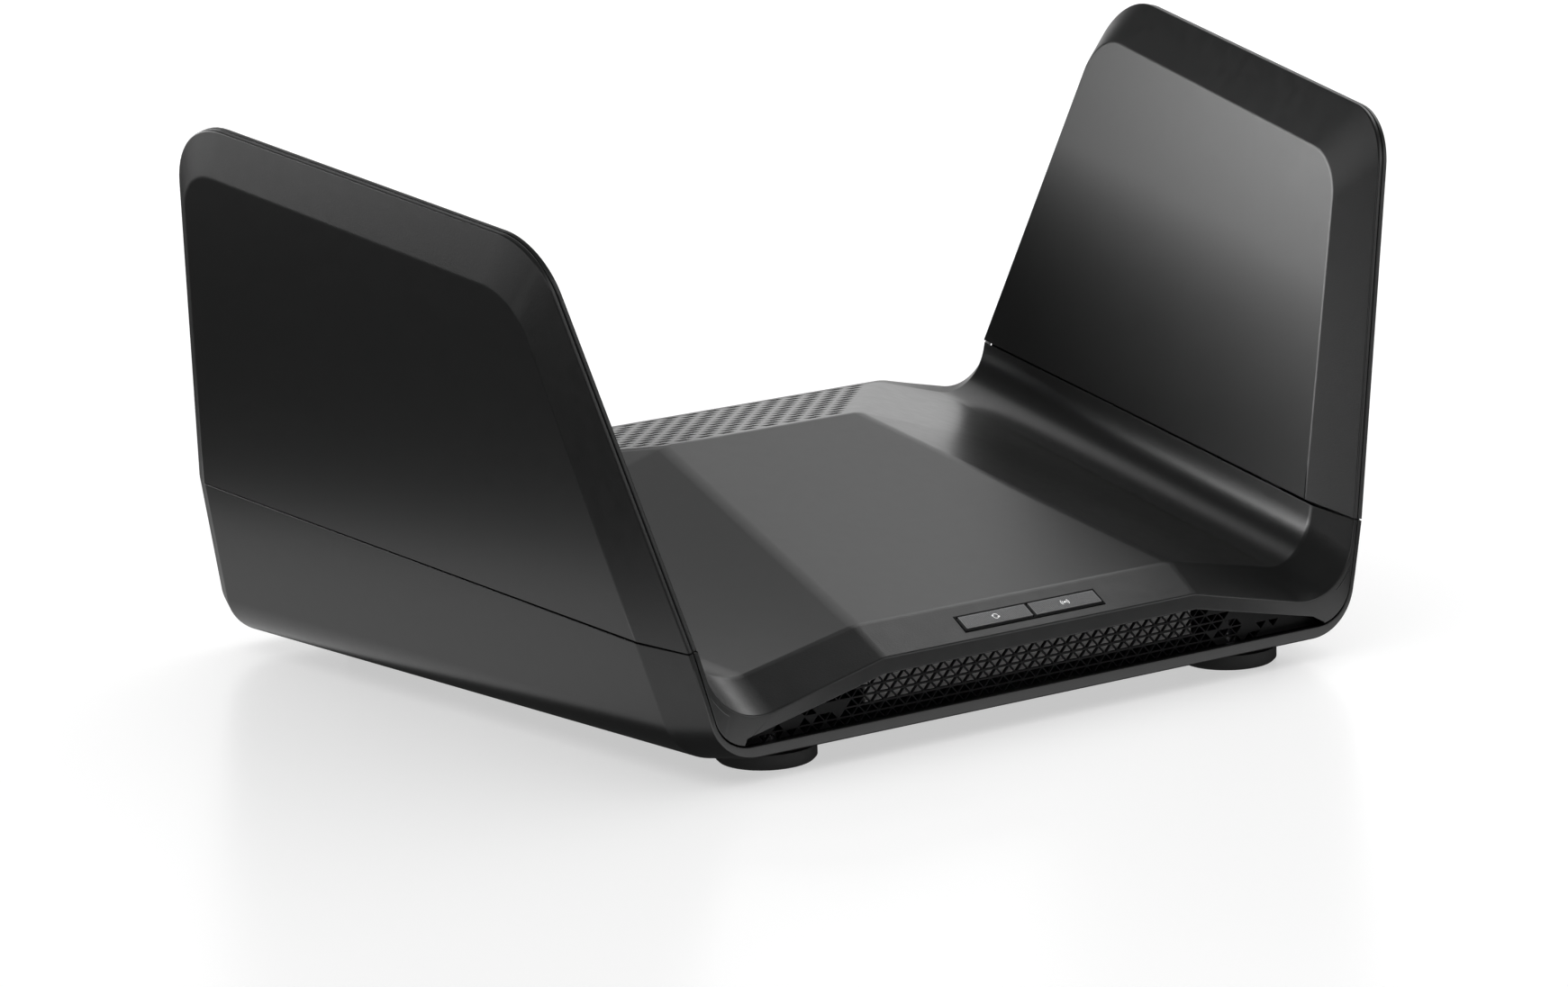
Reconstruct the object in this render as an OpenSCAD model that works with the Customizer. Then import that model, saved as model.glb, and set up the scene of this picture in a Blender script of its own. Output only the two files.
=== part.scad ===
// Wireless router: a wedge-shaped base between two tall folding antenna wings.
// Origin: bottom centre of the whole router. +Y points to the port side, +Z up.

/* [Wings] */
// Height of a wing above its hinge line at the front corner
wing_rise_front = 103.5; // [95:0.5:106]
// Height of a wing above its hinge line at the rear corner
wing_rise_rear = 110.7; // [100:0.5:113]
// Half the length of the hinge line
hinge_half = 101.3; // [100.5:0.1:102]
// Distance of the top front corner in front of the hinge line's middle
wing_top_front = 70.6; // [66:0.5:74]
// Distance of the top rear corner behind the hinge line's middle
wing_top_rear = 74; // [70:0.5:77]
// Outward lean of the wings
wing_lean = 13.67; // [12.5:0.01:14.5]
// Toe angle of the wings in plan
wing_toe = 6.59; // [6.2:0.01:7]
// Rise of the hinge line to the rear
wing_rise_angle = 4.39; // [4.2:0.01:4.6]
// Thickness of the thin edge all round a wing
edge_t = 2.7; // [2.6:0.1:3]
// How far the outer panel stands proud of the edge
outer_proud = 2.5; // [2.2:0.1:2.8]
// How far the inner panel stands proud of the edge
inner_proud = 4.8; // [4.6:0.1:5]

/* [Base] */
// Height of the lower front edge above the table
lip_z = 6.6; // [6:0.1:7]
// Height of the light front lip
lip_h = 3.1; // [2.8:0.1:3.4]
// Wall thickness of the big shells
wall = 2; // [1.8:0.1:2.2]
// Height of the plateau at its front edge
plateau_front_z = 31.6; // [31:0.1:32]
// Height of the plateau at its rear edge
plateau_rear_z = 55.9; // [55:0.1:57]
// Height of the rear deck at the port side
deck_rear_z = 45.3; // [45:0.1:46]
// Radius of the bend between base and wing, outside
bend_r = 14; // [13:0.5:15]
// Radius of the valley between plateau and wing, inside
valley_r = 14; // [13.5:0.1:14.5]

/* [Grilles] */
// Width of one triangle pair in the front grille
tri_pitch = 4.1; // [4:0.1:4.4]
// Height of one row of triangles
tri_row = 2.3; // [2.2:0.1:2.4]
// Spacing of the rear vent slots along a row
slot_pitch = 7.1; // [6.9:0.1:7.4]
// Spacing of the rear vent rows
slot_row = 5.15; // [5:0.05:5.2]

/* [Controls] */
// Length of one front button
button_l = 20.9; // [20:0.1:21]
// Width of one front button
button_w = 4.6; // [4.4:0.1:4.8]
// Travel of the front buttons
button_travel = 0.7; // [0.5:0.1:0.8]

/* [Hidden] */

charcoal = [0.14, 0.15, 0.15];
dark = [0.07, 0.07, 0.075];
steel = [0.7, 0.7, 0.72];
board_green = [0.05, 0.25, 0.16];

// Frame of the right wing: X out of the wing, Y back along the hinge line, Z up the wing.
hinge_mid = [120.16, -2.64, 43.37];
seam_gap = 0.2;
turn = [wing_rise_angle, wing_lean, -wing_toe];

function spin_x(a, p) = [p.x, p.y * cos(a) - p.z * sin(a), p.y * sin(a) + p.z * cos(a)];
function spin_y(a, p) = [p.x * cos(a) + p.z * sin(a), p.y, -p.x * sin(a) + p.z * cos(a)];
function spin_z(a, p) = [p.x * cos(a) - p.y * sin(a), p.x * sin(a) + p.y * cos(a), p.z];
function from_wing(p) = hinge_mid + spin_z(turn.z, spin_y(turn.y, spin_x(turn.x, p)));

axis_y = from_wing([0, 1, 0]) - hinge_mid;
axis_z = from_wing([0, 0, 1]) - hinge_mid;
axis_x = from_wing([1, 0, 0]) - hinge_mid;

// Point on the wing wall at depth y, at distance n out of the edge plane and up above the hinge line
function wall_point(y, n, up) =
    let (along = (y - hinge_mid.y - n * axis_x.y - up * axis_z.y) / axis_y.y)
    from_wing([n, along, up]);
// The wall is the plane x = wall_x(y, n) + wall_k * z
wall_k = -axis_x.z / axis_x.x;
function wall_x(y, n) = (axis_x * hinge_mid + n - axis_x.y * y) / axis_x.x;
wall_angle = atan(1 / wall_k);
wall_len = sqrt(1 + wall_k * wall_k);

module wing_frame(side) {
    if (side > 0) translate(hinge_mid) rotate(turn) children();
    else mirror([1, 0, 0]) translate(hinge_mid) rotate(turn) children();
}

// ---- Lofted shells -------------------------------------------------------
front_y = -104.5;
rear_y = 95;
seam_rear_y = 97.5;
rear_slope = 0.16;
arc_n = 7;

function front_edge_y(z) = front_y + 0.098 * max(0, z - 19);
function rear_edge_y(z) = seam_rear_y + rear_slope * (wall_point(seam_rear_y, 0, 0).z - z);

// Half outline of the outside skin at depth y: flat bottom, bend, then up the wall
function outer_half(y, n, z, r) =
    let (corner = wall_x(y, n) + wall_k * z, start = corner - r * tan(wall_angle / 2))
    concat([for (i = [0:arc_n])
                let (a = -90 + wall_angle * i / arc_n) [start + r * cos(a), z + r + r * sin(a)]],
           [let (p = wall_point(y, n, -seam_gap)) [p.x, p.z]]);

// Half outline of the inside skin at depth y: level top, slope, valley bend, then up the wall
function inner_half(y, w, top, low, n, r, gap) =
    let (cz = low + r, cx = wall_x(y, n) + wall_k * cz - r * wall_len,
         dx = cx - w, dz = cz - top, d = sqrt(dx * dx + dz * dz),
         fall = atan2(dz, dx) - asin(r / d))
    concat([[w, top]],
           [for (i = [0:arc_n])
                let (a = fall - 90 + (wall_angle - fall) * i / arc_n) [cx + r * cos(a), cz + r * sin(a)]],
           [let (p = wall_point(y, n, -gap)) [p.x, p.z]]);

function both_sides(half) =
    let (k = len(half)) concat([for (i = [k - 1:-1:0]) [-half[i].x, half[i].y]], half);

// Closed skin between two stacks of sections with equal point counts
module skin(above, below) {
    rows = len(above);
    cols = len(above[0]);
    pts = concat([for (s = above) each s], [for (s = below) each s]);
    shift = rows * cols;
    function quad(a, b, c, d) = [[a, b, c], [a, c, d]];
    faces = concat(
        [for (i = [0:rows - 2], j = [0:cols - 2]) each
            quad(i * cols + j, (i + 1) * cols + j, (i + 1) * cols + j + 1, i * cols + j + 1)],
        [for (i = [0:rows - 2], j = [0:cols - 2]) each
            quad(shift + i * cols + j + 1, shift + (i + 1) * cols + j + 1, shift + (i + 1) * cols + j,
                 shift + i * cols + j)],
        [for (j = [0:cols - 2]) each quad(j, j + 1, shift + j + 1, shift + j)],
        [for (j = [0:cols - 2]) let (b = (rows - 1) * cols + j) each
            quad(b + 1, b, shift + b, shift + b + 1)],
        [for (i = [0:rows - 2]) let (a = i * cols, b = a + cols) each
            quad(b, a, shift + a, shift + b)],
        [for (i = [0:rows - 2]) let (a = i * cols + cols - 1, b = a + cols) each
            quad(a, b, shift + b, shift + a)]);
    polyhedron(points = pts, faces = faces, convexity = 6);
}

// Outside skin sections: [depth, proud n, bottom z, bend radius, thickness at wall, at bottom]
outer_rows = [[front_y, 0, lip_z, bend_r, 1.3, lip_h],
              [-90, outer_proud, lip_z - outer_proud, bend_r + 1, wall, wall],
              [seam_rear_y - 6, outer_proud, lip_z - outer_proud, bend_r + 1, wall, wall],
              [seam_rear_y, 0, lip_z, bend_r, 1.3, wall]];

function outer_depth(row, p) =
    row == 0 ? front_edge_y(p.y)
    : row == 1 ? outer_rows[1][0] + 0.15 * max(0, p.y - 8)
    : rear_edge_y(p.y) - (row == 2 ? 6 : 0);
function outer_section(row, n, z, r) =
    let (y0 = outer_rows[row][0])
    [for (p = both_sides(outer_half(y0, n, z, r)))
        let (y = outer_depth(row, p), slide = (p.x > 0 ? 1 : -1) * (y - y0) * -axis_x.y / axis_x.x)
        [p.x + slide, y, p.y]];
outer_face = [for (i = [0:3]) let (o = outer_rows[i]) outer_section(i, o[1], o[2], o[3])];
outer_back = [for (i = [0:3]) let (o = outer_rows[i])
              outer_section(i, o[1] - o[4], o[2] + o[5], o[3] - o[5])];

// Inside skin sections: [depth, half width of the level top, top z, valley z, n, valley radius]
face_gap = 0.2;
back_gap = 1.3;
inner_n = -edge_t - inner_proud;
band_y = -92.35;
crest_y = 23.2;
valley_front_z = 24.4;
valley_slope = 0.0812;
function deck_z(y) = plateau_rear_z + (deck_rear_z - plateau_rear_z) * (y - crest_y) / (rear_y - crest_y);
function deck_w(y) = 32.2 + 0.802 * (y - crest_y);
function valley_z(y) = valley_front_z + valley_slope * (y - band_y);
inner_rows = [[front_y, 49.4, 25.3, 17.2, -edge_t, valley_r + 2],
              [band_y, 50.2, plateau_front_z, valley_front_z, inner_n, valley_r],
              [crest_y, 32.2, plateau_rear_z, valley_z(crest_y), inner_n, valley_r],
              [rear_y - 5, deck_w(rear_y - 5), deck_z(rear_y - 5), valley_z(rear_y - 5), inner_n, valley_r],
              [rear_y, deck_w(rear_y), deck_rear_z, valley_z(rear_y), -edge_t, valley_r + 1]];

function inner_depth(row, p) =
    row == 0 ? front_edge_y(p.y)
    : row == 1 ? band_y + 0.28 * max(0, abs(p.x) - 86)
    : inner_rows[row][0] + (row > 2 ? 0.1 * max(0, abs(p.x) - 100) : 0);
function inner_section(row, t) =
    let (s = inner_rows[row], y0 = s[0], tn = row == 0 || row == 4 ? 1.3 : t)
    [for (p = both_sides(inner_half(y0, s[1] - 0.15 * t, s[2] - t, s[3] - t, s[4] + tn, s[5] + t,
                                        t == 0 ? face_gap : back_gap)))
        let (y = inner_depth(row, p), slide = (p.x > 0 ? 1 : -1) * (y - y0) * -axis_x.y / axis_x.x)
        [p.x + (abs(p.x) > 86 ? slide : 0), y, p.y]];
inner_face = [for (i = [0:4]) inner_section(i, 0)];
inner_back = [for (i = [0:4]) inner_section(i, wall)];

// ---- Placement helpers ----------------------------------------------------
module cyl_z(p, r, h) { translate(p) cylinder(r = r, h = h, $fn = 32); }
module cyl_y(p, r, h) { translate(p) rotate([-90, 0, 0]) cylinder(r = r, h = h, $fn = 32); }
module block(low, high) { translate(low) cube(high - low); }

// Level base floor and the four screw posts, which the feet cover
floor_low = lip_z - outer_proud;
floor_top = floor_low + wall;
foot_places = [[-74, -86], [74, -86], [-88, 76], [88, 76]];
post_tops = [26.8, 26.8, 42.6, 42.6];
post_split = 10.3;
screw_r = 1.4;
screw_head_r = 2.8;

// Circuit board on its stand-offs
board_z = 12;
board_t = 1.6;
board_top = board_z + board_t;
board_half = 80;
board_front = -62;
board_rear = 88;
standoffs = [[-72, -54], [72, -54], [-72, 30], [72, 30]];
foot_r = 13;

module bottom_case() {
    color(charcoal) difference() {
        union() {
            skin(outer_back, outer_face);
            for (p = foot_places) cyl_z([p.x, p.y, floor_low], 5, post_split - 0.3 - floor_low);
            for (p = standoffs) cyl_z([p.x, p.y, floor_low + 1], 3, board_z - floor_low - 1);
        }
        for (p = foot_places) {
            cyl_z([p.x, p.y, floor_low - 1], screw_r + 0.2, 20);
            cyl_z([p.x, p.y, floor_low - 1], screw_head_r + 0.2, 4);
        }
        for (p = standoffs) cyl_z([p.x, p.y, board_z - 4], 0.9, 5);
        for (i = [-7:7], j = [0:3]) block([i * 6 - 1.2, -40 + j * 16, 0], [i * 6 + 1.2, -30 + j * 16, 8]);
    }
}

// ---- Top cover ------------------------------------------------------------
band_angle = atan((plateau_front_z - inner_rows[0][2]) / (band_y - front_y));
button_mid = [0, -98.7, 28.3];
module band_frame() { translate(button_mid) rotate([band_angle, 0, 0]) children(); }

rim = 0.5;
button_gap = 0.3;
cell_l = button_l + 2 * button_gap;
cell_w = button_w + 2 * button_gap;
bezel_l = 2 * cell_l + 3 * rim;
bezel_w = cell_w + 2 * rim;

deck_fall = atan((plateau_rear_z - deck_rear_z) / (rear_y - crest_y));
slot_size = [3.5, 2.8];
slot_rows = 13;
slot_lean = 0.8;

module vent_slots() {
    translate([0, crest_y, plateau_rear_z]) rotate([-deck_fall, 0, 0]) translate([0, 0, -6])
        linear_extrude(10) for (i = [0:slot_rows - 1])
            let (y = 5.5 + slot_row * i, reach = 32.2 + slot_lean * y)
            for (x = [reach - 9:-slot_pitch:-reach + 6])
                translate([x, y]) square(slot_size, center = true);
}

opening_top = 21.2;
opening_half = 49.4;
opening_tip = [91.5, 12.6];
wall_edge_t = 1.3;
horn_z = 22;

// Front wall of the cover: from the highlight edge down to the grille opening
module cover_front() {
    inset = wall_edge_t + 0.3;
    upper = [for (p = inner_face[0]) if (abs(p.x) < opening_tip.x || p.z < horn_z) [p.x, p.z - 0.6]];
    bend = outer_half(front_y, -inset, lip_z + lip_h + 0.3, bend_r - lip_h);
    right = concat([for (p = bend) if (p.x > opening_tip.x && p.y < horn_z) p],
                   [[wall_x(front_y, -inset) + wall_k * horn_z, horn_z]]);
    translate([0, front_y + 2.4, 0]) rotate([90, 0, 0]) linear_extrude(2.3)
        polygon(concat(upper, [for (i = [len(right) - 1:-1:0]) right[i]],
                       [opening_tip, [opening_half, opening_top],
                        [-opening_half, opening_top], [-opening_tip.x, opening_tip.y]],
                       [for (p = right) [-p.x, p.y]]));
}

module top_cover() {
    color(charcoal) difference() {
        union() {
            skin(inner_face, inner_back);
            cover_front();
            for (i = [0:3]) let (p = foot_places[i])
                cyl_z([p.x, p.y, post_split], 3.5, post_tops[i] - post_split);
        }
        for (i = [0:3]) let (p = foot_places[i]) cyl_z([p.x, p.y, post_split - 1], screw_r, 9);
        band_frame() cube([bezel_l + 0.2, bezel_w + 0.2, 12], center = true);
        vent_slots();
        for (side = [-1, 1]) wing_frame(side) leaf_hole(base_leaf_n - 1.4, -screw_up, 0.9, 4);
    }
}

// ---- Front grille -----------------------------------------------------------
grille_y = front_y + 3.9;
grille_t = 1;
grille_rows = 5;
web = 0.8;
grille_low = 9.1;
function scatter(i, j) = abs(sin(i * 71.3 + j * 137.9) * 43.7) % 1;
function tri_kept(i, j) = scatter(i, j) > (abs(i * tri_pitch / 2) - 54) / 34;

module tri_hole(up) {
    h = tri_row - 0.45;
    half = (tri_pitch - web) / 2;
    polygon(up ? [[-half, 0], [half, 0], [0, h]] : [[-half, h], [half, h], [0, 0]]);
}

module front_grille() {
    half_top = opening_half + 1.5;
    high = opening_top + 1.2;
    color(dark) translate([0, grille_y + grille_t, 0]) rotate([90, 0, 0]) linear_extrude(grille_t)
        difference() {
            polygon([[-92, grille_low], [92, grille_low], [92, 12.4],
                     [half_top, high], [-half_top, high], [-92, 12.4]]);
            for (j = [0:grille_rows - 1]) let (z = opening_top - 0.8 - tri_row * (j + 1))
                for (i = [-42:42])
                    if (tri_kept(i, j) && abs(i * tri_pitch / 2) < 49 + (high - 2.2 - z) * 3.6)
                        translate([i * tri_pitch / 2, z]) tri_hole((i + j) % 2 == 0);
        }
}

module grille_backplate() {
    color([0.35, 0.35, 0.36]) block([-52, grille_y + 2.1, 12.6], [52, grille_y + 2.8, 19.6]);
}

// ---- Rear panel and sockets --------------------------------------------------
panel_y = 91.8;
panel_t = 1.6;
socket_mouth = 93.8;
jack_x = -64;
jack_pitch = 16;
jack_count = 5;
jack_h = 14;
jack_depth = 21;
usb_x = [24, 42];
usb_size = [13.4, 16, 6.6];
dc_x = 63;
dc_r = 3.2;
reset_x = -72;
power_x = 78;
control_z = 21;
power_r = 4;
reset_r = 1;

module rear_panel() {
    low = both_sides(outer_half(panel_y, outer_proud - wall - 0.3, floor_top + 0.3, bend_r - wall));
    high = both_sides(inner_half(panel_y, deck_w(panel_y) - 0.4, deck_z(panel_y + 2) - wall - 0.3,
                                 valley_z(panel_y) - wall - 0.8, inner_n + wall + 0.3,
                                 valley_r + wall + 0.3, back_gap));
    trim = 118;
    color(dark) difference() {
        intersection() {
            translate([0, panel_y + panel_t, 0]) rotate([90, 0, 0]) linear_extrude(panel_t)
                polygon(concat(low, [for (i = [len(high) - 1:-1:0]) high[i]]));
            block([-trim, 0, 0], [trim, 200, 200]);
        }
        block([jack_x - 0.3, 90, board_top - 0.3],
              [jack_x + jack_count * jack_pitch + 0.3, 96, board_top + jack_h + 0.3]);
        for (x = usb_x) block([x - 0.3, 90, board_top - 0.3],
                              [x + usb_size.x + 0.3, 96, board_top + usb_size.z + 0.3]);
        cyl_y([dc_x, 90, board_top + 6], dc_r + 1.6, 6);
        cyl_y([power_x, 90, control_z], power_r + 0.3, 6);
        cyl_y([reset_x, 90, control_z], reset_r + 0.3, 6);
        for (i = [-9:9]) block([i * 7 - 2.4, 90, 31.5], [i * 7 + 2.4, 96, 33]);
    }
}

module network_jacks() {
    color(steel) difference() {
        block([jack_x, socket_mouth - jack_depth, board_top],
              [jack_x + jack_count * jack_pitch, socket_mouth, board_top + jack_h]);
        for (i = [0:jack_count - 1]) let (x = jack_x + (i + 0.5) * jack_pitch) {
            block([x - 5.95, socket_mouth - 15, board_top + 2.4], [x + 5.95, 100, board_top + 9.4]);
            block([x - 3.2, socket_mouth - 15, board_top + 9], [x + 3.2, 100, board_top + 11.6]);
        }
    }
}

module usb_sockets() {
    color(steel) for (x = usb_x) let (low = [x, socket_mouth - usb_size.y, board_top]) {
        difference() {
            block(low, low + usb_size);
            block(low + [0.6, 1, 0.7], low + [usb_size.x - 0.6, 30, usb_size.z - 0.7]);
        }
        block(low + [2, 0.5, 3.6], low + [usb_size.x - 2, usb_size.y - 5, 5.2]);
    }
}

module dc_jack() {
    z = board_top + 6;
    color(dark) {
        difference() {
            union() {
                block([dc_x - 5, 78, board_top], [dc_x + 5, panel_y - 0.2, board_top + 11]);
                cyl_y([dc_x, panel_y - 0.5, z], dc_r + 1.3, socket_mouth - panel_y + 0.5);
            }
            cyl_y([dc_x, 81, z], dc_r, 20);
        }
        cyl_y([dc_x, 80, z], 1, 8.4);
    }
}

module power_button() {
    color(dark) {
        cyl_y([power_x, 88.4, control_z], power_r, 8);
        cyl_y([power_x, 87.4, control_z], power_r + 1.2, 1.2);
    }
}

module power_switch() {
    color(dark) difference() {
        block([power_x - 4, 76, board_top - 4], [power_x + 4, 84.5, control_z + 4]);
        block([power_x - 5, 75, board_top - 5], [board_half + 0.3, board_rear + 0.3, board_top]);
    }
}

module reset_button() {
    color(dark) {
        cyl_y([reset_x, 88.6, control_z], reset_r, 3.6);
        cyl_y([reset_x, 87.8, control_z], reset_r + 0.9, 1);
    }
}

module reset_switch() {
    color(steel) block([reset_x - 3, 79, board_top], [reset_x + 3, 86.6, control_z + 2.5]);
}

// ---- Front buttons -------------------------------------------------------------
cap_proud = 0.35;
flange_t = 0.7;
bezel_depth = 2.6;
plunger_clear = 0.4;
switch_h = 1.5;

module front_button(side) {
    x = side * (cell_l + rim) / 2;
    color([0.25, 0.25, 0.26]) band_frame() translate([x, 0, 0]) {
        block([-button_l / 2, -button_w / 2, -bezel_depth - 0.4], [button_l / 2, button_w / 2, cap_proud]);
        block([-button_l / 2 - 0.6, -button_w / 2 - 0.4, -bezel_depth - 0.3 - flange_t],
              [button_l / 2 + 0.3, button_w / 2 + 0.4, -bezel_depth - 0.3]);
    }
}

module button_bezel() {
    color(dark) band_frame() difference() {
        translate([0, 0, -bezel_depth / 2]) cube([bezel_l, bezel_w, bezel_depth], center = true);
        for (side = [-1, 1]) translate([side * (cell_l + rim) / 2, 0, -bezel_depth / 2])
            cube([cell_l, cell_w, bezel_depth + 1], center = true);
    }
}

switch_top = -bezel_depth - 0.3 - flange_t - button_travel - plunger_clear;
module button_switches() {
    color(steel) band_frame() for (side = [-1, 1])
        block([side * (cell_l + rim) / 2 - 3, -2, switch_top - switch_h],
              [side * (cell_l + rim) / 2 + 3, 2, switch_top]);
}

module button_board() {
    color(board_green) band_frame()
        block([-23, -2.6, switch_top - switch_h - 1], [23, 3.6, switch_top - switch_h]);
}

// ---- Electronics ----------------------------------------------------------------
cpu_at = [-30, 0];
radio_at = [34, -8];
chip_t = 2;
pad_t = 0.8;

module main_board() {
    color(board_green) difference() {
        union() {
            block([-board_half, board_front, board_z], [board_half, board_rear, board_top]);
            for (p = [cpu_at, radio_at])
                block([p.x - 11, p.y - 11, board_z + 1], [p.x + 11, p.y + 11, board_top + chip_t]);
        }
        for (p = standoffs) cyl_z([p.x, p.y, board_z - 1], 1.3, 4);
    }
}

module thermal_pads() {
    color([0.6, 0.65, 0.7]) for (p = [cpu_at, radio_at])
        block([p.x - 10, p.y - 10, board_top + chip_t], [p.x + 10, p.y + 10, board_top + chip_t + pad_t]);
}

module heat_sink(at, width, depth, fins) {
    low = board_top + chip_t + pad_t;
    pitch = (width - 1.6) / (fins - 1);
    color(steel) translate([at.x, at.y, 0]) {
        block([-width / 2, -depth / 2, low], [width / 2, depth / 2, low + 3]);
        for (i = [0:fins - 1]) block([-width / 2 + i * pitch, -depth / 2, low + 2],
                                     [-width / 2 + i * pitch + 1.6, depth / 2, low + 14]);
        for (x = [-1, 1], y = [-1, 1])
            cyl_z([x * (width / 2 - 3), y * (depth / 2 - 3), board_top], 2, low + 1 - board_top);
    }
}

module heat_sink_cpu() { heat_sink(cpu_at, 54, 60, 11); }
module heat_sink_radio() { heat_sink(radio_at, 46, 52, 9); }

module shield_cans() {
    color(steel) for (x = [-62, 8]) difference() {
        block([x, 38, board_top], [x + 44, 64, board_top + 4]);
        block([x + 0.5, 38.5, board_top - 1], [x + 43.5, 63.5, board_top + 3.5]);
    }
}

module rubber_feet() {
    color(dark) for (p = foot_places) translate([p.x, p.y, 0])
        rotate_extrude($fn = 48) polygon([[0, 0], [foot_r - 0.8, 0], [foot_r, 0.8],
                                          [foot_r, floor_low], [0, floor_low]]);
}

module case_screws() {
    color(steel) for (p = foot_places) {
        cyl_z([p.x, p.y, floor_low + 0.4], screw_head_r, 2.6);
        cyl_z([p.x, p.y, floor_low + 1], screw_r, 12);
    }
}

module board_screws() {
    color(steel) for (p = standoffs) {
        cyl_z([p.x, p.y, board_top], 2.4, 1.4);
        cyl_z([p.x, p.y, board_z - 3.6], 0.9, 5);
    }
}

module label_plate() {
    color([0.8, 0.8, 0.8]) block([-30, 34, floor_low - 0.3], [30, 64, floor_low]);
}

// ---- Hinges -----------------------------------------------------------------------
axis_n = -5.6;
axis_up = 1.9;
barrel_r = 1.3;
pin_r = 0.7;
pin_bore = 0.75;
pin_half = 13;
knuckle_at = [-60, 64];
knuckle_half = 5;
lead_at = [-30, 30];
lead_gap = 3;
arm_n = -2.9;
wing_leaf_n = -5.4;
base_leaf_n = -5.4;
pocket_n = axis_n - 0.8;
leaf_t = 1;
leaf_rise = 14;
leaf_ends = [-76, 88];
barrel_ends = [-80, 92];
leaf_screw_at = [-70, -46, 0, 46, 78];
screw_up = 9;

module along_axis(y0, y1, r) { cyl_y([axis_n, y0, axis_up], r, y1 - y0); }
module leaf_hole(n, up, r, h) {
    for (y = leaf_screw_at) translate([n, y, up]) rotate([0, 90, 0]) cylinder(r = r, h = h, $fn = 32);
}

// Base leaf: its knuckles hang on arms that stay outside the sweep of the wing's lower edge
module hinge_base(side) {
    color(steel) wing_frame(side) difference() {
        union() {
            block([base_leaf_n, leaf_ends[0], -leaf_rise], [base_leaf_n + leaf_t, leaf_ends[1], -4]);
            for (y = knuckle_at) let (y0 = y - knuckle_half, y1 = y + knuckle_half) {
                along_axis(y0, y1, barrel_r);
                block([axis_n, y0, axis_up - 0.6], [arm_n, y1, axis_up + 0.6]);
                block([arm_n, y0, -6], [arm_n + leaf_t, y1, axis_up + 0.6]);
                block([base_leaf_n, y0, -6], [arm_n + leaf_t, y1, -4]);
            }
        }
        for (y = knuckle_at) along_axis(y - 20, y + 20, pin_r);
        for (y = lead_at) block([-9, y - lead_gap, -30], [0, y + lead_gap, 5]);
        leaf_hole(-9, -screw_up, 0.9, 9);
    }
}

module hinge_pins(side) {
    color(steel) wing_frame(side) for (y = knuckle_at) along_axis(y - pin_half, y + pin_half, pin_r);
}

// Barrel of the wing leaf, in lengths between the base knuckles and the lead gaps
barrel_cuts = [[barrel_ends[0], knuckle_at[0] - knuckle_half - 0.3],
               [knuckle_at[0] + knuckle_half + 0.3, lead_at[0] - lead_gap],
               [lead_at[0] + lead_gap, lead_at[1] - lead_gap],
               [lead_at[1] + lead_gap, knuckle_at[1] - knuckle_half - 0.3],
               [knuckle_at[1] + knuckle_half + 0.3, barrel_ends[1]]];

module hinge_leaf(side) {
    color(charcoal) wing_frame(side) difference() {
        union() {
            block([wing_leaf_n, leaf_ends[0], axis_up + 1.6],
                  [wing_leaf_n + leaf_t, leaf_ends[1], leaf_rise]);
            for (c = barrel_cuts) {
                along_axis(c[0], c[1], barrel_r);
                block([wing_leaf_n, max(c[0], leaf_ends[0]), axis_up],
                      [wing_leaf_n + leaf_t, min(c[1], leaf_ends[1]), axis_up + 2]);
            }
        }
        for (y = knuckle_at) along_axis(y - pin_half - 0.5, y + pin_half + 0.5, pin_bore);
        for (y = lead_at) block([-9, y - lead_gap, -5], [0, y + lead_gap, 30]);
        leaf_hole(-9, screw_up, 0.9, 9);
    }
}

module leaf_screws(side, leaf_n, up) {
    color(steel) wing_frame(side) {
        leaf_hole(leaf_n + leaf_t, up, 1.7, 0.8);
        leaf_hole(leaf_n - 1.2, up, 0.9, 2.4);
    }
}

// ---- Wings -------------------------------------------------------------------------
function corner_arc(p, q, s, r) =
    let (a = (p - q) / norm(p - q), b = (s - q) / norm(s - q), half = acos(a * b) / 2,
         mid = q + (a + b) / norm(a + b) * r / sin(half),
         from = q + a * r / tan(half) - mid, to = q + b * r / tan(half) - mid, steps = 8)
    [for (i = [0:steps]) let (t = i / steps, d = from * (1 - t) + to * t) mid + d / norm(d) * r];
function wing_outline(c, r) =
    concat([c[0]], corner_arc(c[0], c[1], c[2], r[0]), corner_arc(c[1], c[2], c[3], r[1]), [c[3]]);

wing_foot = 0.1;
edge_line = wing_outline([[-hinge_half, wing_foot], [-wing_top_front, wing_rise_front],
                          [wing_top_rear, wing_rise_rear], [hinge_half, wing_foot]], [19, 24]);
panel_line = wing_outline([[17.3 - hinge_half, wing_foot], [9.6 - wing_top_front, wing_rise_front - 14.2],
                           [wing_top_rear - 2, wing_rise_rear - 13.1], [hinge_half - 5.2, wing_foot]],
                          [16, 15]);

module slab(n0, n1, inset = 0) {
    translate([n0, 0, 0]) rotate([90, 0, 90]) linear_extrude(n1 - n0) offset(delta = -inset) children();
}

module wing_shell_solid(edge_n, face_n, inset) {
    hull() {
        slab(min(edge_n), max(edge_n), inset) polygon(edge_line);
        slab(face_n - 0.02, face_n, inset * 0.8) polygon(panel_line);
    }
}

antenna_n = -2.8;
antenna_t = 0.8;
antenna_front = [[-60, 30], [-14, 84]];
antenna_rear = [[14, 30], [60, 88]];
function antenna_posts(a) = [[a[0].x + 4, a[0].y + 4], [a[1].x - 4, a[0].y + 4],
                             [a[0].x + 10, a[1].y - 5], [a[1].x - 6, a[1].y - 5]];

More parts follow.
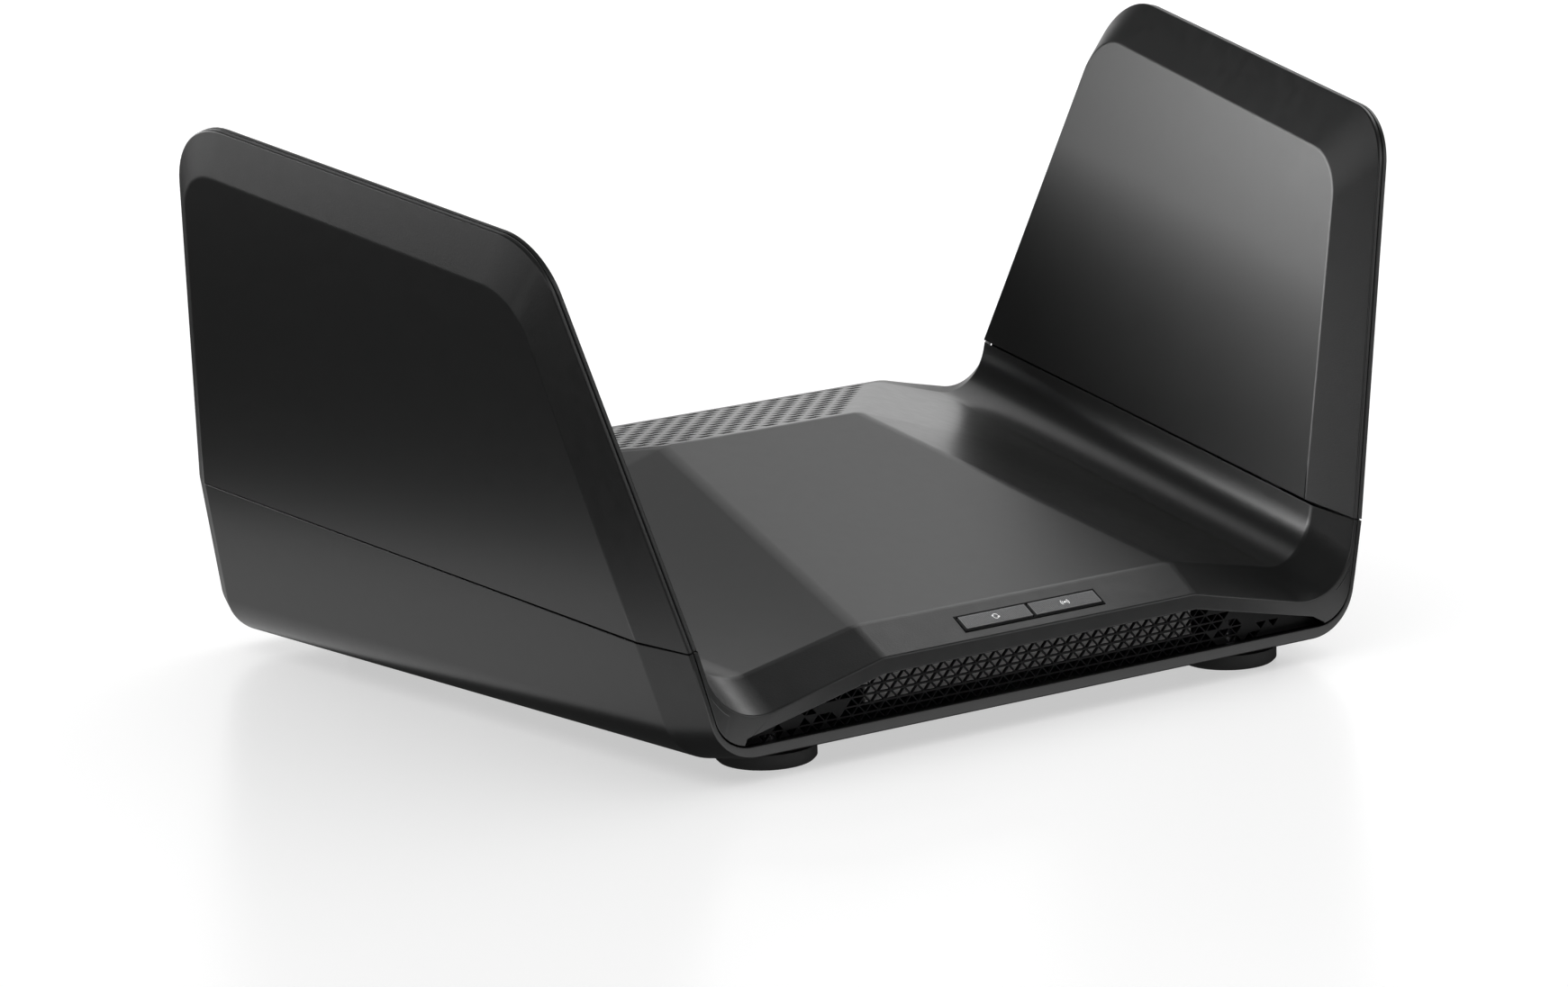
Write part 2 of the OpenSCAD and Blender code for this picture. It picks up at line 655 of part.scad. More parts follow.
module wing_outer(side) {
    color(charcoal) wing_frame(side) {
        difference() {
            wing_shell_solid([-wall_edge_t, 0], outer_proud, 0);
            hull() {
                slab(-9, -0.3, 1.6) polygon(edge_line);
                slab(outer_proud - wall - 0.02, outer_proud - wall, 1.2) polygon(panel_line);
            }
        }
        for (p = concat(antenna_posts(antenna_front), antenna_posts(antenna_rear)))
            translate([antenna_n + antenna_t, p.x, p.y]) rotate([0, 90, 0])
                cylinder(r = 1.8, h = outer_proud - wall - antenna_n - antenna_t + 0.5, $fn = 24);
    }
}

module wing_inner(side) {
    color(charcoal) wing_frame(side) difference() {
        wing_shell_solid([-wall_edge_t - 0.05, -edge_t], inner_n, 0);
        hull() {
            slab(-edge_t + 0.3, 0, 1.6) polygon(edge_line);
            slab(inner_n + wall, inner_n + wall + 0.02, 1.2) polygon(panel_line);
        }
        block([axis_n, barrel_ends[0], -1], [0, barrel_ends[1], 6]);
        for (y = knuckle_at) block([pocket_n, y - knuckle_half - 0.3, -1],
                                   [0, y + knuckle_half + 0.3, axis_up + 2]);
        for (y = lead_at) block([pocket_n, y - lead_gap, -1], [0, y + lead_gap, 6]);
        along_axis(barrel_ends[0] - 0.4, barrel_ends[1] + 0.4, barrel_r + 0.15);
        leaf_hole(wing_leaf_n - 1.4, screw_up, 0.9, 4);
    }
}

module antenna(side, a) {
    color(board_green) wing_frame(side)
        block([antenna_n, a[0].x, a[0].y], [antenna_n + antenna_t, a[1].x, a[1].y]);
}

// ---- Antenna leads -------------------------------------------------------------------
lead_r = 0.6;
lead_sides = 8;

// Tube swept along a path, with rings square to the mean direction at each point
module tube(path) {
    last = len(path) - 1;
    function aim(i) = let (d = path[min(i + 1, last)] - path[max(i - 1, 0)]) d / norm(d);
    function ring(i) =
        let (t = aim(i), u = cross(t, abs(t.z) < 0.9 ? [0, 0, 1] : [1, 0, 0]),
             a = u / norm(u), b = cross(t, a))
        [for (k = [0:lead_sides - 1])
            path[i] + lead_r * (a * cos(360 * k / lead_sides) + b * sin(360 * k / lead_sides))];
    function at(i, k) = i * lead_sides + k % lead_sides;
    polyhedron(points = [for (i = [0:last]) each ring(i)],
               faces = concat([[for (k = [0:lead_sides - 1]) k]],
                              [[for (k = [lead_sides - 1:-1:0]) at(last, k)]],
                              [for (i = [0:last - 1], k = [0:lead_sides - 1])
                                  each [[at(i, k), at(i + 1, k), at(i + 1, k + 1)],
                                        [at(i, k), at(i + 1, k + 1), at(i, k + 1)]]]));
}

module base_leads(side) {
    color([0.2, 0.2, 0.2]) scale_side(side) for (y = lead_at)
        tube(concat([[76, y, board_top + 0.8], [84, y, board_top + 1], [92, y, 15], [100, y, 19]],
                    [for (p = [[-2.6, y - 1.6, -17], [-2.6, y - 1.6, -10], [-2.5, y - 1.6, -4],
                               [-2.6, y - 1.6, 0], [-3.2, y - 1.6, 1.6], [-4.4, y - 1.4, axis_up],
                               [axis_n, y - 0.7, axis_up], [axis_n, y, axis_up]]) from_wing(p)]));
}

module wing_leads(side) {
    color([0.2, 0.2, 0.2]) wing_frame(side) for (y = lead_at)
        tube([[axis_n, y, axis_up], [axis_n, y + 0.8, axis_up], [-5, y + 1.5, 3.2], [-3.8, y + 1.6, 6],
              [-3.5, y + 1.6, 14], [-3.5, y + 1.6, 30], [-3.5, y + 1.6, 36]]);
}

module scale_side(side) { if (side > 0) children(); else mirror([1, 0, 0]) children(); }

bottom_case();
top_cover();
front_grille();
grille_backplate();
rear_panel();
main_board();
network_jacks();
usb_sockets();
dc_jack();
power_button();
power_switch();
reset_button();
reset_switch();
front_button(1);  // wifi_button
front_button(-1);  // wps_button
button_bezel();
button_board();
button_switches();
heat_sink_cpu();
heat_sink_radio();
shield_cans();
thermal_pads();
rubber_feet();
case_screws();
board_screws();
label_plate();
hinge_base(-1);  // hinge_base_left
hinge_base(1);  // hinge_base_right
hinge_pins(-1);  // hinge_pins_left
hinge_pins(1);  // hinge_pins_right
hinge_leaf(-1);  // hinge_leaf_left
hinge_leaf(1);  // hinge_leaf_right
wing_outer(-1);  // wing_outer_left
wing_outer(1);  // wing_outer_right
wing_inner(-1);  // wing_inner_left
wing_inner(1);  // wing_inner_right
antenna(-1, antenna_front);  // antenna_front_left
antenna(1, antenna_front);  // antenna_front_right
antenna(-1, antenna_rear);  // antenna_rear_left
antenna(1, antenna_rear);  // antenna_rear_right
base_leads(-1);  // base_leads_left
base_leads(1);  // base_leads_right
wing_leads(-1);  // wing_leads_left
wing_leads(1);  // wing_leads_right
leaf_screws(-1, wing_leaf_n, screw_up);  // leaf_screws_left
leaf_screws(1, wing_leaf_n, screw_up);  // leaf_screws_right
leaf_screws(-1, base_leaf_n, -screw_up);  // base_leaf_screws_left
leaf_screws(1, base_leaf_n, -screw_up);  // base_leaf_screws_right
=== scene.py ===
"""Looks of a wireless router with two folding antenna wings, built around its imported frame."""
import itertools
import math

import bmesh
import bpy
from mathutils import Matrix, Vector


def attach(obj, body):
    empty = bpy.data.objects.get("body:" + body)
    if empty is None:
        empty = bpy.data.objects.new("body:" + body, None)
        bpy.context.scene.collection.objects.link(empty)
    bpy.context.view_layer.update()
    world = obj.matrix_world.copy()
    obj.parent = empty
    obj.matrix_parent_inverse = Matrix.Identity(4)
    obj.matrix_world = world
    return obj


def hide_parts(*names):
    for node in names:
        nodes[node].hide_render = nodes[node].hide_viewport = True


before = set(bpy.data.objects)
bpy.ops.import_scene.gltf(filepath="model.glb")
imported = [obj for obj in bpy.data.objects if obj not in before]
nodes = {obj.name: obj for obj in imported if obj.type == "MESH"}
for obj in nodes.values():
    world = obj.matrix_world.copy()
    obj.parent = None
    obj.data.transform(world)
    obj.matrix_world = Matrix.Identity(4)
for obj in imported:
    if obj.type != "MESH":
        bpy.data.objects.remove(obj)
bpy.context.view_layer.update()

MM = 0.001
collection = bpy.context.scene.collection

# ---- Camera: at the photo's viewing angle ---------------------------------------
AZIMUTH, ELEVATION, ROLL = math.radians(-33.65), math.radians(13.04), math.radians(-1.91)
CAMERA_AT = Vector((-832.1, -1236.9, 387.3)) * MM
LENS, SENSOR, CLIP_END = 130.27, 36.0, 50.0


def add_camera():
    """Long lens at the front left, a little above the router."""
    back = Vector((math.sin(AZIMUTH) * math.cos(ELEVATION), -math.cos(AZIMUTH) * math.cos(ELEVATION),
                   math.sin(ELEVATION)))
    right = (-back).cross(Vector((0, 0, 1))).normalized()
    up = right.cross(-back)
    tilted_right = right * math.cos(ROLL) + up * math.sin(ROLL)
    tilted_up = up * math.cos(ROLL) - right * math.sin(ROLL)
    data = bpy.data.cameras.new("camera")
    data.sensor_width = SENSOR
    data.lens = LENS
    data.clip_end = CLIP_END
    camera = bpy.data.objects.new("camera", data)
    turn = Matrix((tilted_right, tilted_up, back)).transposed().to_4x4()
    camera.matrix_world = Matrix.Translation(CAMERA_AT) @ turn
    collection.objects.link(camera)
    bpy.context.scene.camera = camera


# ---- Wing frame: X out of the wing, Y back along the hinge line, Z up the wing ----
HINGE_MID = Vector((120.16, -2.64, 43.37))
RISE, LEAN, TOE = math.radians(4.39), math.radians(13.67), math.radians(6.59)
WING = Matrix.Rotation(-TOE, 3, "Z") @ Matrix.Rotation(LEAN, 3, "Y") @ Matrix.Rotation(RISE, 3, "X")
AXIS_X, AXIS_Y, AXIS_Z = WING.col[0], WING.col[1], WING.col[2]
WALL_K = -AXIS_X.z / AXIS_X.x
WALL_ANGLE = math.atan(1 / WALL_K)
WALL_LEN = math.sqrt(1 + WALL_K * WALL_K)
SKEW = -AXIS_X.y / AXIS_X.x


def from_wing(n, along, up):
    """A model point from its place in the right wing's frame."""
    return HINGE_MID + WING @ Vector((n, along, up))


def wall_x(y, n):
    """X at height 0 and depth y of the plane that lies n outside the hinge plane."""
    return (AXIS_X.dot(HINGE_MID) + n - AXIS_X.y * y) / AXIS_X.x


def wall_point(y, n, up):
    """The point of that plane at depth y, up the wing by up."""
    along = (y - HINGE_MID.y - n * AXIS_X.y - up * AXIS_Z.y) / AXIS_Y.y
    return from_wing(n, along, up)


def at_wing(side):
    """A map from the wing frame into the model, mirrored for the left wing (side -1)."""
    def at(p):
        q = from_wing(*p)
        return Vector((q.x * side, q.y, q.z))

    return at


# ---- Mesh building -----------------------------------------------------------------
BEVEL_ANGLE, SHARP_ANGLE = math.radians(30), math.radians(38)
FACE_AREA_WEIGHT = 60


def new_object(name, bm, smooth=True):
    """A mesh object from bm, whose vertices are in millimetres."""
    bmesh.ops.scale(bm, vec=(MM, MM, MM), verts=bm.verts)
    mesh = bpy.data.meshes.new(name)
    bm.to_mesh(mesh)
    bm.free()
    if smooth:
        mesh.shade_smooth()
    obj = bpy.data.objects.new(name, mesh)
    collection.objects.link(obj)
    return obj


def weight_layer(bm):
    """A new edge layer of the weights that the Bevel modifier reads."""
    return bm.edges.layers.float.new("bevel_weight_edge")


def add_bevel(obj, width, segments=3, by_weight=True):
    """Bevels the weighted edges, or every edge sharper than BEVEL_ANGLE. width is in millimetres."""
    bevel = obj.modifiers.new("bevel", "BEVEL")
    bevel.width = width * MM
    bevel.segments = segments
    bevel.use_clamp_overlap = not by_weight
    bevel.limit_method = "WEIGHT" if by_weight else "ANGLE"
    bevel.angle_limit = BEVEL_ANGLE
    bevel.miter_outer = "MITER_SHARP"


def add_flat_normals(obj):
    normals = obj.modifiers.new("normals", "WEIGHTED_NORMAL")
    normals.keep_sharp = True
    normals.weight = FACE_AREA_WEIGHT


def cut(obj, cutter):
    hole = obj.modifiers.new("cut", "BOOLEAN")
    hole.operation = "DIFFERENCE"
    hole.solver = "EXACT"
    hole.use_self = True
    hole.object = cutter


def settle(obj, *cutters):
    """Turns the modifiers of obj into its mesh and removes the cutters."""
    evaluated = obj.evaluated_get(bpy.context.evaluated_depsgraph_get())
    mesh = bpy.data.meshes.new_from_object(evaluated)
    obj.modifiers.clear()
    obj.data = mesh
    mesh.set_sharp_from_angle(angle=SHARP_ANGLE)
    add_flat_normals(obj)
    for cutter in cutters:
        bpy.data.objects.remove(cutter)


def add_box(bm, low, high, place=Vector):
    """A box in bm. place maps its corners into the model."""
    corners = itertools.product(*zip(low, high))
    verts = [bm.verts.new(place(Vector(c))) for c in corners]
    for face in ((0, 1, 3, 2), (4, 6, 7, 5), (0, 4, 5, 1), (2, 3, 7, 6), (0, 2, 6, 4), (1, 5, 7, 3)):
        bm.faces.new([verts[i] for i in face])


def thick_grid(bm, face, back, ridges, rim, satin, columns=()):
    """A closed shell between two grids of points.

    ridges are (row, weight) pairs and columns are (column, weight, first row, last row) on the face.
    rim has the weights of the first row's, the last row's and the side edges. Face rows from satin[0]
    to satin[1] get the second material.
    """
    weights = weight_layer(bm)
    front, rear = [[[bm.verts.new(p) for p in row] for row in grid] for grid in (face, back)]
    rows, cols = len(face), len(face[0])
    for i in range(rows - 1):
        for j in range(cols - 1):
            quad = bm.faces.new((front[i][j], front[i][j + 1], front[i + 1][j + 1], front[i + 1][j]))
            quad.material_index = int(satin[0] <= i < satin[1])
            bm.faces.new((rear[i][j], rear[i + 1][j], rear[i + 1][j + 1], rear[i][j + 1]))
    for i in (0, rows - 1):
        for j in range(cols - 1):
            bm.faces.new((front[i][j], rear[i][j], rear[i][j + 1], front[i][j + 1]))
    for j in (0, cols - 1):
        for i in range(rows - 1):
            bm.faces.new((front[i][j], front[i + 1][j], rear[i + 1][j], rear[i][j]))

    def mark(a, b, weight):
        bm.edges.get((a, b))[weights] = weight

    for i, weight in [*ridges, (0, rim[0]), (rows - 1, rim[1])]:
        for j in range(cols - 1):
            mark(front[i][j], front[i][j + 1], weight)
    for j, weight, first, last in columns:
        for i in range(first, last):
            mark(front[i][j], front[i + 1][j], weight)
    for j in (0, cols - 1):
        for i in range(rows - 1):
            mark(front[i][j], front[i + 1][j], rim[2])
    for j in range(cols - 1):
        mark(rear[0][j], rear[0][j + 1], rim[0])
    bmesh.ops.recalc_face_normals(bm, faces=bm.faces)


def mirrored(half):
    """A whole section from its right half, which begins on the centre line."""
    return [Vector((-p.x, p.y, p.z)) for p in reversed(half[1:])] + half


def between(rows, first, last, count):
    """rows with count straight rows added between each pair from first to last."""
    out = []
    for i, row in enumerate(rows):
        out.append(row)
        if first <= i < last:
            for k in range(1, count + 1):
                t = k / (count + 1)
                out.append([a.lerp(b, t) for a, b in zip(row, rows[i + 1])])
    return out


# ---- Base shells ----------------------------------------------------------------------
FRONT_Y, BAND_Y, CREST_Y, REAR_Y, SEAM_REAR_Y = -104.5, -92.35, 23.2, 95.0, 97.5
LIP_Z, LIP_H, WALL, PROUD = 6.6, 3.1, 2.0, 2.5
EDGE_T, HALF_EDGE, INNER_PROUD = 2.7, 1.3, 4.8
INNER_N = -EDGE_T - INNER_PROUD
BEND_R, VALLEY_R = 14.0, 14.0
PLATEAU_FRONT_Z, PLATEAU_REAR_Z, DECK_REAR_Z = 31.6, 55.9, 45.3
SEAM_GAP, BACK_GAP = 0.2, 1.3
FRONT_LEAN, LEAN_FROM_Z, REAR_LEAN = 0.098, 19, 0.16
ARC, FLAT_STEPS, LEVEL_STEPS = 20, 4, 5


def front_edge_y(z):
    """Depth of the front edge, which leans back above the lip."""
    return FRONT_Y + FRONT_LEAN * max(0, z - LEAN_FROM_Z)


def rear_edge_y(z):
    """Depth of the rear edge, which runs out towards the floor."""
    return SEAM_REAR_Y + REAR_LEAN * (wall_point(SEAM_REAR_Y, 0, 0).z - z)


def steps(a, b, parts, count):
    """The first count points after a on a straight line to b that is cut into equal parts."""
    return [(a[0] + (b[0] - a[0]) * i / parts, a[1] + (b[1] - a[1]) * i / parts)
            for i in range(1, count + 1)]


def bend(x, z, r, first):
    """Points of an arc round (x, z), from the angle first to where the wall begins."""
    angles = [first + (WALL_ANGLE - first) * i / ARC for i in range(ARC + 1)]
    return [(x + r * math.sin(a), z - r * math.cos(a)) for a in angles]


def slid(x, z, y0, y):
    """A section point moved from depth y0 to depth y along the wall."""
    return Vector((x + (y - y0) * SKEW, y, z))


def outer_half(y0, n, z, r, depth):
    """Level bottom, bend and wall of the outside skin. depth gives y from a point's z."""
    corner = wall_x(y0, n) + WALL_K * z
    start = corner - r * math.tan(WALL_ANGLE / 2)
    flat = [(start * i / FLAT_STEPS, z) for i in range(FLAT_STEPS)]
    arc = bend(start, z + r, r, 0)
    top = wall_point(y0, n, -SEAM_GAP)
    wall = steps(arc[-1], (top.x, top.z), 4, 4)
    return [slid(x, pz, y0, depth(pz)) for x, pz in flat + arc + wall]


CASE_FRONT_Y, CASE_SWEEP, SWEEP_FROM_Z, CASE_REAR_BEVEL, CASE_SUBROWS = -90, 0.15, 8, 6, 10
COOL_PITCH_X, COOL_PITCH_Y, COOL_W, COOL_L, COOL_FROM_Y = 6, 16, 2.4, 10, -40
COOL_SIDE, COOL_ROWS, COOL_TOP_Z = 7, 4, 8


def build_bottom_case():
    """Outside skin of the base, with cooling slots in its underside."""
    depths = (front_edge_y,
              lambda z: CASE_FRONT_Y + CASE_SWEEP * max(0, z - SWEEP_FROM_Z),
              lambda z: rear_edge_y(z) - CASE_REAR_BEVEL,
              rear_edge_y)
    panel = (PROUD, LIP_Z - PROUD, BEND_R + 1, WALL, WALL)
    rows = ((FRONT_Y, 0, LIP_Z, BEND_R, HALF_EDGE, LIP_H),
            (CASE_FRONT_Y, *panel),
            (SEAM_REAR_Y - CASE_REAR_BEVEL, *panel),
            (SEAM_REAR_Y, 0, LIP_Z, BEND_R, HALF_EDGE, WALL))
    face = [mirrored(outer_half(y, n, z, r, d)) for (y, n, z, r, _, _), d in zip(rows, depths)]
    back = [mirrored(outer_half(y, n - t, z + tz, r - tz, d)) for (y, n, z, r, t, tz), d in zip(rows, depths)]
    face, back = between(face, 1, 2, CASE_SUBROWS), between(back, 1, 2, CASE_SUBROWS)
    rear_ridge = CASE_SUBROWS + 2
    bm = bmesh.new()
    thick_grid(bm, face, back, ridges=((1, 0.5), (rear_ridge, 0.5)), rim=(0.4, 0.3, 0.15),
               satin=(1, rear_ridge))
    obj = new_object("bottom_shell", bm)
    add_bevel(obj, 1.0)
    cutter = bmesh.new()
    for i in range(-COOL_SIDE, COOL_SIDE + 1):
        for j in range(COOL_ROWS):
            x, y = i * COOL_PITCH_X, COOL_FROM_Y + j * COOL_PITCH_Y
            add_box(cutter, (x - COOL_W / 2, y, 0), (x + COOL_W / 2, y + COOL_L, COOL_TOP_Z))
    slots = new_object("slots", cutter, smooth=False)
    cut(obj, slots)
    settle(obj, slots)
    return obj


EDGE_TOP_Z, EDGE_VALLEY_Z, VALLEY_FRONT_Z, VALLEY_RISE = 25.3, 17.2, 24.4, 0.0812
BAND_HALF, CREST_HALF, DECK_SPREAD, DECK_BEVEL = 50.2, 32.2, 0.802, 5
WALL_FROM_X, BAND_SWEEP, REAR_SWEEP, REAR_SWEEP_X = 86, 0.28, 0.1, 100


def deck_z(y):
    """Height of the rear deck."""
    return PLATEAU_REAR_Z + (DECK_REAR_Z - PLATEAU_REAR_Z) * (y - CREST_Y) / (REAR_Y - CREST_Y)


def deck_w(y):
    """Half width of the rear deck."""
    return CREST_HALF + DECK_SPREAD * (y - CREST_Y)


def valley_z(y):
    """Height of the valleys beside the plateau."""
    return VALLEY_FRONT_Z + VALLEY_RISE * (y - BAND_Y)


def inner_half(y0, w, top, low, n, r, gap, depth):
    """Level top, slope, valley arc and wall of the inside skin. depth gives y from a point's x and z."""
    cz = low + r
    cx = wall_x(y0, n) + WALL_K * cz - r * WALL_LEN
    dx, dz = cx - w, cz - top
    fall = math.atan2(dz, dx) - math.asin(r / math.hypot(dx, dz))
    level = [(w * i / LEVEL_STEPS, top) for i in range(LEVEL_STEPS + 1)]
    arc = bend(cx, cz, r, fall)
    slope = steps((w, top), arc[0], 5, 4)
    tip = wall_point(y0, n, -gap)
    wall = steps(arc[-1], (tip.x, tip.z), 3, 3)
    out = []
    for x, z in level + slope + arc + wall:
        y = depth(x, z)
        out.append(slid(x, z, y0, y) if x > WALL_FROM_X else Vector((x, y, z)))
    return out


OPENING_TOP, OPENING_HALF, OPENING_TIP = 21.2, 49.4, (91.5, 11.9)
OPENING_GAP, TIP_WIDTH = 0.3, 0.7


def opening_half(inset, y_in):
    """Lower edge of the cover's front face, point for point below inner_half's first row."""
    z0, r = LIP_Z + LIP_H + OPENING_GAP, BEND_R - LIP_H
    start = wall_x(FRONT_Y, -inset) + WALL_K * z0 - r * math.tan(WALL_ANGLE / 2)
    first = math.asin((OPENING_TIP[0] + TIP_WIDTH - start) / r)
    level = [(OPENING_HALF * i / LEVEL_STEPS, OPENING_TOP) for i in range(LEVEL_STEPS + 1)]
    slope = steps((OPENING_HALF, OPENING_TOP), OPENING_TIP, 4, 4)
    arc = bend(start, z0 + r, r, first)
    tip = wall_point(FRONT_Y, -inset, -SEAM_GAP)
    wall = steps(arc[-1], (tip.x, tip.z), 3, 3)
    return [slid(x, z, FRONT_Y, front_edge_y(z) + y_in) for x, z in level + slope + arc + wall]


BAND_ANGLE = math.atan((PLATEAU_FRONT_Z - EDGE_TOP_Z) / (BAND_Y - FRONT_Y))
BUTTON_MID = Vector((0, -98.7, 28.3))
BAND_TURN = Matrix.Rotation(BAND_ANGLE, 3, "X")
DECK_FALL = math.atan((PLATEAU_REAR_Z - DECK_REAR_Z) / (REAR_Y - CREST_Y))
DECK_TURN = Matrix.Rotation(-DECK_FALL, 3, "X")


def on_band(p):
    """A model point from the buttons' frame: X along the band, Z out of it."""
    return BUTTON_MID + BAND_TURN @ p


def on_deck(p):
    """A model point from the deck's frame: origin on the crest, Z out of the deck."""
    return Vector((0, CREST_Y, PLATEAU_REAR_Z)) + DECK_TURN @ p


SLOT_L, SLOT_W, SLOT_PITCH, SLOT_ROW, SLOT_ROWS, SLOT_LEAN = 3.5, 2.8, 7.1, 5.15, 13, 0.8
SLOT_FIRST_Y, SLOT_RIGHT_MARGIN, SLOT_LEFT_MARGIN = 5.5, 9, 6
SLOT_CHAMFER, SLOT_DEPTH, SLOT_ABOVE = 0.25, 6, 1


def vent_cutter():
    """Slots with a small chamfer where they meet the deck."""
    bm = bmesh.new()
    levels = ((-SLOT_DEPTH, 0), (-SLOT_CHAMFER, 0), (SLOT_ABOVE, SLOT_CHAMFER + SLOT_ABOVE))
    for row in range(SLOT_ROWS):
        y = SLOT_FIRST_Y + SLOT_ROW * row
        reach = CREST_HALF + SLOT_LEAN * y
        x = reach - SLOT_RIGHT_MARGIN
        while x >= -reach + SLOT_LEFT_MARGIN:
            rings = []
            for z, grow in levels:
                a, b = SLOT_L / 2 + grow, SLOT_W / 2 + grow
                rings.append([bm.verts.new(on_deck(Vector((x + sx * a, y + sy * b, z))))
                              for sx, sy in ((-1, -1), (1, -1), (1, 1), (-1, 1))])
            bm.faces.new(rings[0][::-1])
            bm.faces.new(rings[-1])
            for low, high in zip(rings, rings[1:]):
                for k in range(4):
                    bm.faces.new((low[k], low[(k + 1) % 4], high[(k + 1) % 4], high[k]))
            x -= SLOT_PITCH
    return new_object("vent_cutter", bm, smooth=False)


BUTTON_L, BUTTON_W, GAP, RIM = 20.9, 4.6, 0.3, 0.5
CELL_L, CELL_W = BUTTON_L + 2 * GAP, BUTTON_W + 2 * GAP
BEZEL_L, BEZEL_W, BEZEL_DEPTH = 2 * CELL_L + 3 * RIM, CELL_W + 2 * RIM, 2.6

COVER_SUBROWS, FRONT_T, PLATE_TO_X, FACE_INSET, BACK_NARROW = 8, 2.4, 96, 0.15, 0.3
RECESS_GAP, RECESS_CUT = 0.08, 6


def build_top_cover():
    """Inside skin of the base: front face, band, plateau, rear deck with its vent, and both valleys."""
    def front_depth(x, z):
        return front_edge_y(z)

    def band_depth(x, z):
        return BAND_Y + BAND_SWEEP * max(0, x - WALL_FROM_X)

    def rear_depth(y):
        return lambda x, z: y + REAR_SWEEP * max(0, x - REAR_SWEEP_X)

    deck_y = REAR_Y - DECK_BEVEL
    rows = ((FRONT_Y, OPENING_HALF, EDGE_TOP_Z, EDGE_VALLEY_Z, -EDGE_T, VALLEY_R + 2, front_depth),
            (BAND_Y, BAND_HALF, PLATEAU_FRONT_Z, VALLEY_FRONT_Z, INNER_N, VALLEY_R, band_depth),
            (CREST_Y, CREST_HALF, PLATEAU_REAR_Z, valley_z(CREST_Y), INNER_N, VALLEY_R,
             lambda x, z: CREST_Y),
            (deck_y, deck_w(deck_y), deck_z(deck_y), valley_z(deck_y), INNER_N, VALLEY_R,
             rear_depth(deck_y)),
            (REAR_Y, deck_w(REAR_Y), DECK_REAR_Z, valley_z(REAR_Y), -EDGE_T, VALLEY_R + 1,
             rear_depth(REAR_Y)))
    face, back = [], []
    for i, (y, w, top, low, n, r, depth) in enumerate(rows):
        t = HALF_EDGE if i in (0, 4) else WALL
        face.append(mirrored(inner_half(y, w, top, low, n, r, SEAM_GAP, depth)))
        back.append(mirrored(inner_half(y, w - BACK_NARROW, top - WALL, low - WALL, n + t, r + WALL,
                                        BACK_GAP, depth)))
    back[0] = [p + Vector((0, FRONT_T, 0)) if abs(p.x) < PLATE_TO_X else p for p in back[0]]
    face.insert(0, mirrored(opening_half(HALF_EDGE + FACE_INSET, 0)))
    back.insert(0, mirrored(opening_half(HALF_EDGE + FACE_INSET, FRONT_T)))
    face, back = between(face, 2, 4, COVER_SUBROWS), between(back, 2, 4, COVER_SUBROWS)
    middle = len(face[0]) // 2
    crest = COVER_SUBROWS + 3
    last = len(face) - 1
    columns = [(middle + s * LEVEL_STEPS, weight, start, end) for s in (-1, 1)
               for weight, start, end in ((0.5, 0, 1), (1.2, 1, 2), (2.2, 2, crest), (1.6, crest, last))]
    bm = bmesh.new()
    thick_grid(bm, face, back, ridges=((1, 0.45), (2, 0.9), (crest, 0.9), (last - 1, 0.5)),
               rim=(0.25, 0.4, 0.15), satin=(2, last - 1), columns=columns)
    obj = new_object("cover_shell", bm)
    add_bevel(obj, 1.0, segments=4)
    recess = bmesh.new()
    half = Vector((BEZEL_L / 2 + RECESS_GAP, BEZEL_W / 2 + RECESS_GAP, RECESS_CUT))
    add_box(recess, -half, half, on_band)
    cutters = [new_object("recess", recess, smooth=False), vent_cutter()]
    for cutter in cutters:
        cut(obj, cutter)
    settle(obj, *cutters)
    return obj


# ---- Wings -----------------------------------------------------------------------------
FOOT, ABOVE_FOOT = 0.1, 1
HINGE_HALF, FRONT_BEVEL, REAR_BEVEL = 101.3, 17.3, 5.2
EDGE_CORNERS = ((-HINGE_HALF, FOOT), (-70.6, 103.5), (74, 110.7), (HINGE_HALF, FOOT))
EDGE_RADII = (19, 24)
PANEL_CORNERS = ((FRONT_BEVEL - HINGE_HALF, FOOT), (-61, 89.3), (72, 97.6),
                 (HINGE_HALF - REAR_BEVEL, FOOT))
PANEL_RADII = (16, 15)
EDGE_INSET, PANEL_INSET = 1.6, 1.2
GROOVE, EDGE_FLOOR = 0.12, 0.3
STRAIGHT, ROUND = 8, 14


def outline(corners, radii, inset):
    """Open outline of a wing in its own plane: up the front, over the top and down the rear."""
    points = [Vector(c) for c in corners]
    for p in points:
        p.x += inset if p.x < 0 else -inset
        p.y -= inset if p.y > ABOVE_FOOT else 0
    path = []
    previous = points[0]
    for before, q, after, r in zip(points, points[1:], points[2:], radii):
        r -= inset
        a, b = (before - q).normalized(), (after - q).normalized()
        half = math.acos(a.dot(b)) / 2
        centre = q + (a + b).normalized() * r / math.sin(half)
        start, end = q + a * r / math.tan(half), q + b * r / math.tan(half)
        path += [previous.lerp(start, k / STRAIGHT) for k in range(STRAIGHT)]
        first = math.atan2(*(start - centre).yx)
        sweep = (math.atan2(*(end - centre).yx) - first + math.pi) % (2 * math.pi) - math.pi
        angles = [first + sweep * k / ROUND for k in range(ROUND)]
        path += [centre + r * Vector((math.cos(t), math.sin(t))) for t in angles]
        previous = end
    path += [previous.lerp(points[3], k / STRAIGHT) for k in range(STRAIGHT + 1)]
    return path


